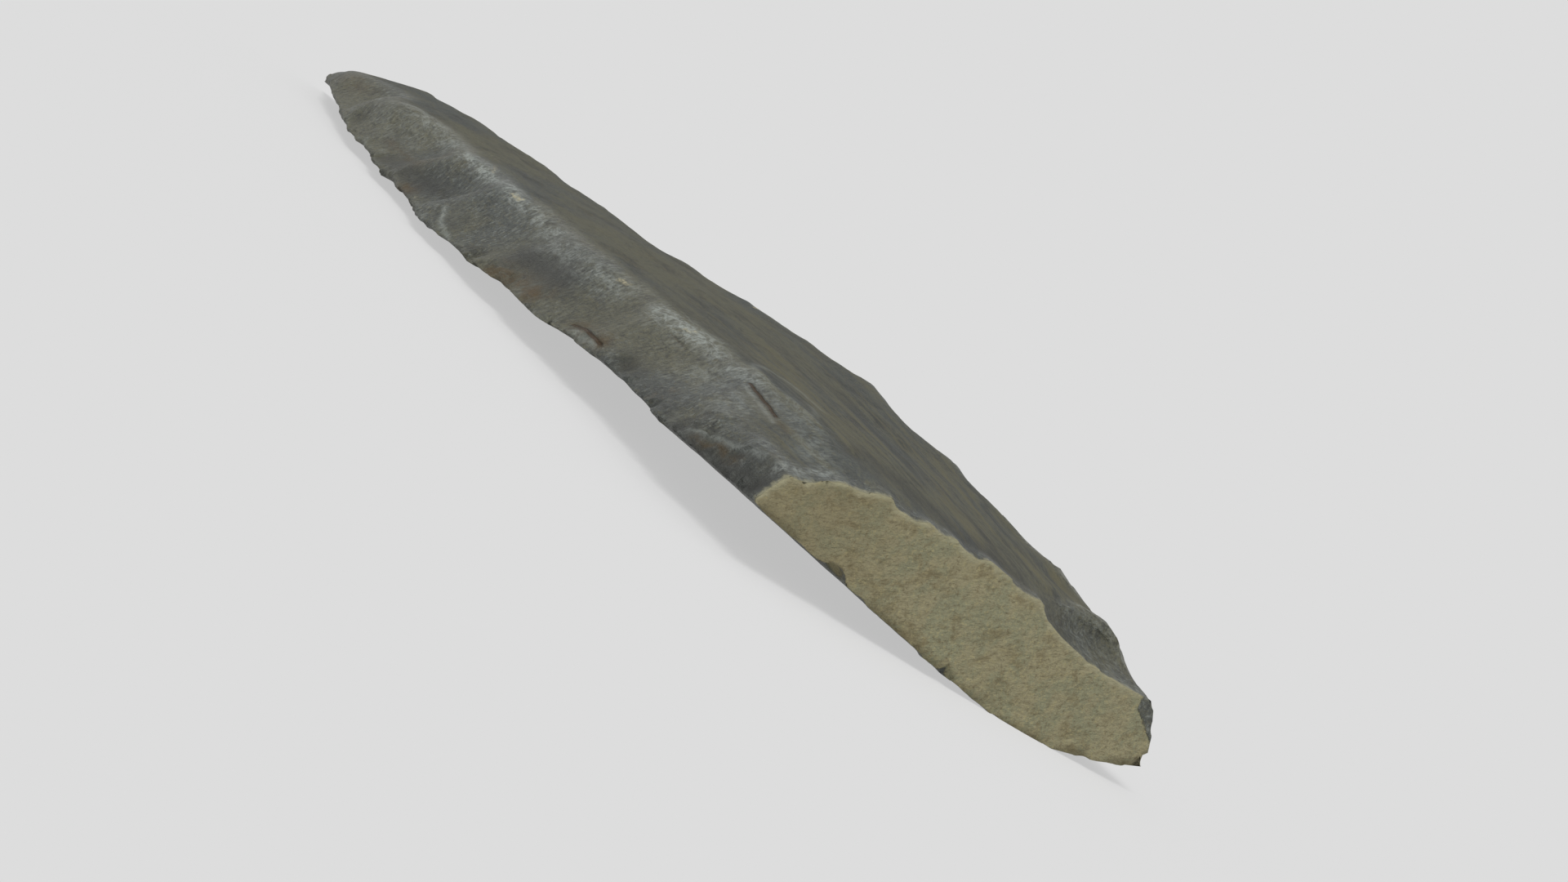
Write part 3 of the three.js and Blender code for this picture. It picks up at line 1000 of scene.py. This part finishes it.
@dataclass
class Blade:
    """The flaked stone blade.

    Attributes:
        joined_within: How near two of the solid's corners are the same one.
        grain: Size of the skin's mesh.
        soften_rounds: How long facets are eased.
        ridge_turn: The turn from one vertex to the next that marks a ridge.
        edge_hold: How near an edge the easing is least and where it is full.
        edge_freedom: The share of the easing that is left at an edge.
        calm_range: Where the scars start to fade towards the point and where they are softest,
            in millimetres along X.
        calm: How much farther a ridge turns there before it is kept.
        station: Distance between the places of an edge line.
        even_span: Length over which the steep edge is evened near the point.
        even_reach: How far the skin follows the evened edge.
        tooth_station: Distance between the places where teeth are looked for.
        tooth_span: Length over which they are evened.
        tooth_reach: How far the skin follows them.
        edge_lift: How far the steep edge is raised at places along X.
        fine_reach: How near the edges the skin's mesh is split.
        mark_reach: The same for the grooves and the fine lines.
        crisp_reach: How near a sharp line the skin is drawn out to it.
        wears: The crest between the flank and the back, where the back drops to the point, and
            the ridge above the notch in the snap's upper rim.
        point_gap: How far from the point its edges are no longer looked for.
        point_length: Length over which the stone narrows to its point.
        point_curve: How it narrows: 1 gives a needle, and less a fuller point.
        blunt_length: The last of the point, which is blunted.
        blunt_share: The share of it that is left.
        least_give: The share of the grain that an edge takes.
        least_chip: Size of the chips at the very point, against those farther back.
        edge_in: Direction in which a chip pushes the flat edge. The steep edge's is its mirror.
        rim_in: The same for the snap's lower rim. The upper rim's is its mirror.
        edge_push: Size of the chips along the two edges, against an ordinary chip.
        point_push: The same near the point.
        rim_push: The same along the snap's rim.
        snap_tolerance: How near the snap's plane a vertex counts as on it.
        snap_facing: How squarely the broken end faces, from its border to its middle.
        fresh_chip: Where a chip left the lower rim along with the snap.
        fresh_chip_reach: How far round it the stone is fresh.
        fresh_chip_facing: How far down the fresh stone there faces.
        old_corner: Where the snap leaves the skin on its far corner.
        old_corner_reach: How far the skin reaches from there.
        proud_rounds: How long the skin is smoothed to find what stands proud of it.
        worn_range: How proud a ridge stands, from not worn to worn.
        hollow_range: How deep a hollow lies.
        back_rounds: How long the skin's facing is averaged to find the back.
        back_range: How far up the skin faces, from the flank to the back.
    """

    joined_within: float = 0.001
    grain: float = 0.37
    soften_rounds: int = 32
    ridge_turn: float = 7.0
    edge_hold: Limits = (0.3, 1.6)
    edge_freedom: float = 0.25
    calm_range: Limits = (-16.0, 2.0)
    calm: float = 3.0
    station: float = 0.8
    even_span: float = 8.0
    even_reach: float = 2.5
    tooth_station: float = 0.3
    tooth_span: float = 3.5
    tooth_reach: float = 1.4
    edge_lift: tuple[Limits, ...] = (
        (-50.0, 0.0),
        (-25.0, -0.25),
        (5.0, -0.2),
        (28.0, 0.1),
        (48.0, 0.45),
        (61.0, 0.0),
    )
    fine_reach: float = 0.8
    mark_reach: float = 0.55
    crisp_reach: float = 0.28
    wears: tuple[Wear, ...] = (
        Wear(
            (
                (32.0, 3.8, 6.8),
                (22.0, 5.3, 7.1),
                (8.0, 9.2, 7.3),
                (-8.0, 11.2, 7.8),
                (-20.0, 12.7, 8.1),
                (-33.0, 12.9, 8.4),
                (-41.0, 12.4, 8.8),
                (-47.0, 11.2, 9.3),
                (-56.0, 11.2, 9.1),
            ),
            2.0,
            60,
        ),
        Wear(((48.0, 0.5, 6.0), (52.5, 0.5, 4.4), (57.0, 0.3, 3.2)), 2.6, 110),
        Wear(
            ((-60.9, -1.2, 8.0), (-60.2, -3.2, 8.3), (-58.9, -5.5, 8.4), (-57.6, -7.7, 8.5)),
            1.6,
            90,
        ),
    )
    point_gap: float = 1.0
    point_length: float = 9.0
    point_curve: float = 0.55
    blunt_length: float = 0.7
    blunt_share: float = 0.6
    least_give: float = 0.15
    least_chip: float = 0.05
    edge_in: Point = (0.0, 0.94, -0.34)
    rim_in: Point = (0.66, 0.0, 0.75)
    edge_push: float = 0.85
    point_push: float = 0.3
    rim_push: float = 0.3
    snap_tolerance: float = 0.05
    snap_facing: Limits = (0.4, 0.7)
    fresh_chip: Point = (-60.2, 11.1, 2.7)
    fresh_chip_reach: float = 2.6
    fresh_chip_facing: Limits = (0.0, 0.3)
    old_corner: tuple[Point, ...] = ((-61.8, -16.3, 5.8), (-61.8, -17.4, 5.1), (-61.8, -18.4, 4.6))
    old_corner_reach: float = 0.65
    proud_rounds: int = 30
    worn_range: Limits = (0.02, 0.18)
    hollow_range: Limits = (0.015, 0.115)
    back_rounds: int = 40
    back_range: Limits = (0.75, 0.95)
    material: StoneMaterial = field(default_factory=StoneMaterial)
    relief: Relief = field(default_factory=Relief)

    def joined_solid(self) -> tuple[bpy.types.Mesh, np.ndarray]:
        """Joins the loose triangles of the solid.

        Returns:
            The joined mesh and its points in millimetres.
        """
        solid = bmesh.new()
        solid.from_mesh(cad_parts[NODE].data)
        bmesh.ops.remove_doubles(solid, verts=solid.verts, dist=self.joined_within * MM)
        mesh = bpy.data.meshes.new("joined_stone")
        solid.to_mesh(mesh)
        points = np.array([v.co for v in solid.verts]) / MM
        solid.free()
        return mesh, points

    def fine_skin(self, joined: bpy.types.Mesh) -> bpy.types.Object:
        """Returns an object whose even, fine mesh covers the solid's joined one."""
        stone = set_out("flaked_stone_blade", joined)
        cover = stone.modifiers.new("cover", "REMESH")
        cover.mode = "VOXEL"
        cover.voxel_size = self.grain * MM
        keep_modified(stone)
        return stone

    def edge_paths(self, points: np.ndarray, station: float) -> list[np.ndarray]:
        """Finds the lines of the two edges in plan.

        Args:
            points: The surface's points.
            station: Distance between the lines' places.

        Returns:
            The steep edge's and the flat edge's path, from the snap to the point.
        """
        paths = []
        low, high = points[:, 0].min(), points[:, 0].max()
        for sign in (1, -1):
            path = []
            for at in np.arange(low + station, high, station):
                near = points[np.abs(points[:, 0] - at) < station]
                if len(near):
                    path.append(near[np.argmax(sign * near[:, 1])])
            paths.append(np.array(path))
        return paths

    def rim_paths(self, joined: bpy.types.Mesh, points: np.ndarray) -> list[np.ndarray]:
        """Finds the rims of the snapped face.

        Args:
            joined: The solid's joined mesh.
            points: Its points.

        Returns:
            The lower and the upper rim's path, from the steep edge to the flat edge.
        """
        on_snap = points[:, 0] < points[:, 0].min() + self.snap_tolerance
        times = Counter(
            tuple(sorted(pair))
            for face in joined.polygons
            if all(on_snap[i] for i in face.vertices)
            for pair in face.edge_keys
        )
        beside = defaultdict(list)
        for (one, other), count in times.items():
            if count == 1:
                beside[one].append(other)
                beside[other].append(one)
        start = max(beside, key=lambda i: points[i, 1])
        last = min(beside, key=lambda i: points[i, 1])
        ways = []
        for step in beside[start]:
            way = [start, step]
            while way[-1] != last:
                way.append(next(i for i in beside[way[-1]] if i != way[-2]))
            ways.append(points[way])
        return sorted(ways, key=lambda way: way[:, 2].mean())

    def calmness(self, along: np.ndarray) -> np.ndarray:
        """Returns how soft the scars are at places along X: 0 by the snap, 1 near the point."""
        share = rise(along, self.calm_range)
        return share * share * (3 - 2 * share)

    def even_edge(self, skin: Skin, path: np.ndarray, span: float, reach: float) -> np.ndarray:
        """Evens the steep edge near the point, and takes the skin beside it along.

        Args:
            skin: The skin.
            path: The edge's path.
            span: Length over which it is evened.
            reach: How far the skin follows.

        Returns:
            How far each place of the path goes.
        """
        along = path[:, 0]
        weight = fade(along[:, None] - along, span / 2)
        even = weight @ path / weight.sum(axis=1)[:, None]
        last = rise(along[-1] - along, (0, span))
        shift = (even - path) * (self.calmness(along) * last)[:, None]
        shift[:, 0] = 0
        skin.shift(path, shift, reach)
        return shift

    def steady_edge(self, skin: Skin, path: np.ndarray) -> np.ndarray:
        """Evens and lifts the steep edge and the skin, and returns the edge's new path."""
        path = path + self.even_edge(skin, path, self.even_span, self.even_reach)
        lift = np.zeros_like(path)
        lift[:, 2] = np.interp(path[:, 0], *zip(*self.edge_lift))
        skin.shift(path, lift, self.even_reach)
        return path + lift

    def refine(self, stone: bpy.types.Object, paths: Any, reach: float, cuts: int) -> None:
        """Splits the skin's faces near some paths.

        Args:
            stone: The skin's object.
            paths: The paths.
            reach: How near a face is split.
            cuts: How often each of its edges is split.
        """
        held = search_tree(np.concatenate(paths))
        fine = bmesh.new()
        fine.from_mesh(stone.data)
        near = {v for v in fine.verts if held.find(v.co / MM)[2] < reach}
        edges = [e for e in fine.edges if e.verts[0] in near and e.verts[1] in near]
        bmesh.ops.subdivide_edges(fine, edges=edges, cuts=cuts, use_grid_fill=True)
        fine.to_mesh(stone.data)
        fine.free()

    def narrow(self, skin: Skin, tip: np.ndarray) -> None:
        """Narrows the blunt end of the skin to a point, and blunts the last of that.

        Args:
            skin: The skin.
            tip: The point.
        """
        along = skin.points[:, 0]
        share = rise(along.max() - along, (0, self.point_length))
        size = ((1 - (1 - share) ** 2) ** self.point_curve)[:, None]
        moved = tip + (skin.points - tip) * size
        moved[:, 0] = along + (tip[0] - along.max()) * (1 - share)
        depth = tip[0] - moved[:, 0]
        lost = 1 - self.blunt_share
        moved[:, 0] -= lost * np.clip(self.blunt_length - depth, 0, None)
        moved[:, 0] += lost * self.blunt_length * (1 - rise(depth, (0, self.point_length)))
        skin.write(moved)

    def edge_lines(self, edges: list[np.ndarray], rims: list[np.ndarray]) -> bpy.types.Object:
        """Makes the lines that the crushing follows.

        Args:
            edges: The two edges' paths.
            rims: The lower and the upper rim's path.

        Returns:
            The lines as an object, whose vertices carry their push.
        """
        places: list[np.ndarray] = []
        pushes: list[np.ndarray] = []
        joins: list[tuple[int, int]] = []
        across, upward = np.array((1, -1, 1)), np.array((1, 1, -1))
        plans = (
            (edges[0], self.edge_in * across, self.edge_push, self.point_push),
            (edges[1], np.array(self.edge_in), self.edge_push, self.point_push),
            (rims[0], np.array(self.rim_in), self.rim_push, self.rim_push),
            (rims[1], self.rim_in * upward, self.rim_push, self.rim_push),
        )
        far = edges[0][:, 0].max()
        for path, push, wide, slim in plans:
            start = len(places)
            places += [place * MM for place in path]
            sizes = wide + (slim - wide) * self.calmness(path[:, 0])
            near_point = rise(far - path[:, 0], (0, self.point_length))
            sizes = sizes * np.maximum(near_point, self.least_chip)
            pushes += [push * size for size in sizes]
            joins += [(i, i + 1) for i in range(start, len(places) - 1)]
        mesh = bpy.data.meshes.new("edge_lines")
        mesh.from_pydata(places, joins, [])
        kept = mesh.attributes.new(self.relief.push_name, "FLOAT_VECTOR", "POINT")
        kept.data.foreach_set("vector", np.array(pushes, np.float32).ravel())
        return set_out("edge_lines", mesh)

    def store_fresh(self, skin: Skin, snap_end: float) -> None:
        """Stores where the stone is freshly broken and where the snap leaves old skin.

        Args:
            skin: The skin before its grain is raised.
            snap_end: How far the snapped end reaches, along X.
        """
        normals = skin.normals()
        on_snap = skin.points[:, 0] < snap_end
        fresh = on_snap * rise(-normals[:, 0], self.snap_facing)
        aside = skin.nearest_on(np.array(self.old_corner))[1] - self.old_corner_reach
        beyond = rise(aside, (0, self.grain))
        skin.store(Lie.OLD.value, 1 - beyond)
        away = np.linalg.norm(skin.points - np.array(self.fresh_chip), axis=1)
        beneath = rise(-normals[:, 2], self.fresh_chip_facing)
        chipped = beneath * (1 - rise(away, (0, self.fresh_chip_reach)))
        skin.store(Lie.FRESH.value, np.maximum(fresh * beyond, chipped))

    def store_lie(self, skin: Skin, rim: np.ndarray) -> None:
        """Stores what each vertex lies on: ridge, hollow, rim or back.

        Args:
            skin: The finished skin.
            rim: The rim's path.
        """
        normals = skin.normals()
        proud = ((skin.points - skin.eased(self.proud_rounds)) * normals).sum(axis=1)
        skin.store(Lie.WORN.value, rise(proud, self.worn_range))
        skin.store(Lie.HOLLOW.value, rise(-proud, self.hollow_range))
        skin.store(Lie.RIM.value, skin.nearest_on(rim)[1])
        broad = normals[:, 2:]
        for _ in range(self.back_rounds):
            broad = skin.averaged(broad)
        skin.store(Lie.BACK.value, rise(broad[:, 0], self.back_range))

    def store_marks(self, skin: Skin) -> None:
        """Stores how plainly each kind of mark shows at each vertex of the finished skin."""
        tree = search_tree(skin.points)
        for kind, traces in TRACES.items():
            shown = np.zeros(len(skin.points))
            for trace in traces:
                laid = np.array([tree.find(place)[0] for place in self.stations_of(trace)])
                near = skin.near(laid, trace.reach)[:, 0]
                shown = np.maximum(shown, trace.strength * near)
            skin.store(kind.value, shown)

    def stations_of(self, trace: Trace) -> np.ndarray:
        """Returns places along a mark, no farther apart than an edge line's."""
        path = np.array(trace.path)
        places = [path[:1]]
        for start, end in zip(path, path[1:]):
            count = math.ceil(np.linalg.norm(end - start) / self.station)
            places.append(start + np.linspace(0, 1, count + 1)[1:, None] * (end - start))
        return np.concatenate(places)

    def build(self) -> bpy.types.Object:
        """Builds the blade.

        Returns:
            The blade as one mesh.
        """
        joined, points = self.joined_solid()
        edges = self.edge_paths(points, self.station)
        rims = self.rim_paths(joined, points)
        stone = self.fine_skin(joined)
        edges[0] = self.steady_edge(Skin(stone.data), edges[0])
        tip = points[points[:, 0] > points[:, 0].max() - self.snap_tolerance].mean(axis=0)
        end = tip[0] - self.point_gap
        edges = [np.concatenate((path[path[:, 0] < end], [tip])) for path in edges]
        lines = [*edges, *rims]
        fine = [self.stations_of(t) for k in (Mark.GROOVE, Mark.PALE_LINE) for t in TRACES[k]]
        self.refine(stone, lines, self.fine_reach, 1)
        self.refine(stone, fine, self.mark_reach, 2)

        skin = Skin(stone.data)
        skin.draw_out(lines, self.crisp_reach)
        tree = search_tree(np.concatenate(lines))
        near = np.array([tree.find(place)[2] for place in skin.points])
        calm = self.calmness(skin.points[:, 0])
        least = self.edge_freedom + (1 - self.edge_freedom) * calm
        free = np.maximum(rise(near, self.edge_hold), least)[:, None]
        skin.ease_facets(self.soften_rounds, self.ridge_turn * (1 + self.calm * calm), free)
        for wear in self.wears:
            skin.take(wear)
        self.narrow(skin, tip)
        steep = self.edge_paths(skin.points, self.tooth_station)[0]
        self.even_edge(skin, steep, self.tooth_span, self.tooth_reach)
        skin.draw_out(rims, self.crisp_reach)
        give = rise(near, (0, self.edge_hold[1]))
        skin.store(self.relief.give_name, np.maximum(give, self.least_give))
        self.store_fresh(skin, points[:, 0].min() + self.grain)

        crushed = self.edge_lines(edges, rims)
        self.relief.apply(stone, crushed, self.material.build())
        bpy.data.objects.remove(crushed)
        stone.data.shade_smooth()
        skin = Skin(stone.data)
        self.store_lie(skin, rims[1])
        self.store_marks(skin)
        stone.data.attributes.remove(stone.data.attributes[self.relief.give_name])
        return stone


@dataclass
class Studio:
    """Floor, light and camera.

    Attributes:
        grey: The colour that the floor and the backdrop read as.
        sky: Light from all round.
        key: Light from the key lamp on a surface that faces it.
        key_from: Direction that the key lamp shines from.
        key_spread: How soft the key lamp is.
        glow: Share of the floor's seen colour that no shadow takes away.
        floor_reach: Half the floor's width, in metres.
        bearing: Direction that the camera looks in, in degrees from +X towards -Y.
        downward: How far it looks down.
        roll: How far it is rolled.
        stand_off: Its distance from the foot of the snapped face.
        foot: The place that it is set out from.
        foot_pixel: Where that place shows in the image.
        focal_length: The lens.
        sensor: The sensor's width.
        clip: The nearest and the farthest that the camera sees, in metres.
        image: The image's size in pixels.
    """

    grey: Tone = (221, 221, 221)
    sky: float = 0.42
    key: float = 0.62
    key_from: Point = (-0.45, 0.5, 0.74)
    key_spread: float = 24.0
    glow: float = 0.7
    floor_reach: float = 6.0
    bearing: float = 35.0
    downward: float = 5.0
    roll: float = 35.166
    stand_off: float = 205.805
    foot: Point = (-61.8, 0.355, 3.9)
    foot_pixel: tuple[float, float] = (1180.0, 768.3)
    focal_length: float = 75.0
    sensor: float = 36.0
    clip: Limits = (0.01, 50.0)
    image: tuple[int, int] = (1920, 1080)

    def show_grey(self, tree: bpy.types.NodeTree, lit: Any, kind: str, most: float) -> None:
        """Shows rays that look at a surface, in a reflection or through glass too, its plain grey.

        Args:
            tree: The surface's node tree.
            lit: The shader that every other ray meets.
            kind: The type of the plain shader.
            most: How much of it those rays see.
        """
        wires = Wiring(tree)
        path = wires.node("ShaderNodeLightPath").outputs
        seen = wires.sum("MAXIMUM", path["Is Camera Ray"], path["Is Glossy Ray"])
        seen = wires.sum("MAXIMUM", seen, path["Is Transmission Ray"])
        plain = wires.node(kind, {"Color": tone(self.grey), "Strength": 1.0}).outputs[0]
        mixed = wires.node(
            "ShaderNodeMixShader", {0: wires.times(seen, most), 1: lit.outputs[0], 2: plain}
        )
        output = next(node for node in tree.nodes if node.bl_idname.startswith("ShaderNodeOutput"))
        wires.feed(output.inputs["Surface"], mixed.outputs[0])

    def floor(self) -> bpy.types.Object:
        """Returns the floor, whose colour makes up for the light that falls on it."""
        reach = self.floor_reach
        mesh = bpy.data.meshes.new("floor")
        corners = [(-reach, -reach, 0), (reach, -reach, 0), (reach, reach, 0), (-reach, reach, 0)]
        mesh.from_pydata(corners, [], [(0, 1, 2, 3)])
        material = bpy.data.materials.new("pale_floor")
        material.use_nodes = True
        shader = material.node_tree.nodes["Principled BSDF"]
        lit = self.sky + self.key * Vector(self.key_from).normalized().z
        shade = tone(self.grey)[0] / lit
        shader.inputs["Base Color"].default_value = (shade, shade, shade, 1)
        shader.inputs["Roughness"].default_value = 1.0
        shader.inputs["Specular IOR Level"].default_value = 0.0
        self.show_grey(material.node_tree, shader, "ShaderNodeEmission", self.glow)
        mesh.materials.append(material)
        return set_out("floor", mesh)

    def light(self) -> None:
        """Sets the light from all round and the key lamp."""
        world = bpy.data.worlds.new("studio")
        bpy.context.scene.world = world
        world.use_nodes = True
        sky = world.node_tree.nodes["Background"]
        sky.inputs["Color"].default_value = (1, 1, 1, 1)
        sky.inputs["Strength"].default_value = self.sky
        self.show_grey(world.node_tree, sky, "ShaderNodeBackground", 1.0)
        lamp = bpy.data.lights.new("key_lamp", "SUN")
        lamp.energy = self.key * math.pi
        lamp.angle = math.radians(self.key_spread)
        holder = set_out("key_lamp", lamp)
        holder.rotation_mode = "QUATERNION"
        holder.rotation_quaternion = Vector(self.key_from).to_track_quat("Z", "Y")

    def camera(self) -> None:
        """Places the camera at the photograph's viewing angle."""
        bearing, downward, roll = map(math.radians, (self.bearing, self.downward, self.roll))
        flat = math.cos(downward)
        ahead = Vector((math.cos(bearing) * flat, -math.sin(bearing) * flat, -math.sin(downward)))
        level = ahead.cross(Vector((0, 0, 1))).normalized()
        down = ahead.cross(level)
        right = math.cos(roll) * level - math.sin(roll) * down
        below = math.sin(roll) * level + math.cos(roll) * down
        scale = self.sensor / self.focal_length / self.image[0]
        aside, under = ((at - size / 2) * scale for at, size in zip(self.foot_pixel, self.image))
        place = Vector(self.foot) - self.stand_off * (ahead + right * aside + below * under)
        lens = bpy.data.cameras.new("camera")
        lens.lens = self.focal_length
        lens.sensor_width = self.sensor
        lens.clip_start, lens.clip_end = self.clip
        camera = set_out("camera", lens)
        turn = Matrix((right, -below, -ahead)).transposed().to_4x4()
        camera.matrix_world = Matrix.Translation(place * MM) @ turn
        bpy.context.scene.camera = camera

    def build(self) -> bpy.types.Object:
        """Sets up the studio and returns its floor."""
        bpy.context.scene.view_settings.view_transform = "Standard"
        self.light()
        self.camera()
        return self.floor()


def main() -> None:
    """Builds the blade and its studio and reports each piece."""
    logging.basicConfig(level=logging.INFO, format="%(name)s: %(message)s")
    blade = Blade().build()
    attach(blade, BODY)
    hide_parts(NODE)
    LOG.info("%s: %d faces, on %s", blade.name, len(blade.data.polygons), BODY)
    floor = Studio().build()
    LOG.info("%s: the stage", floor.name)


if __name__ == "__main__":
    main()
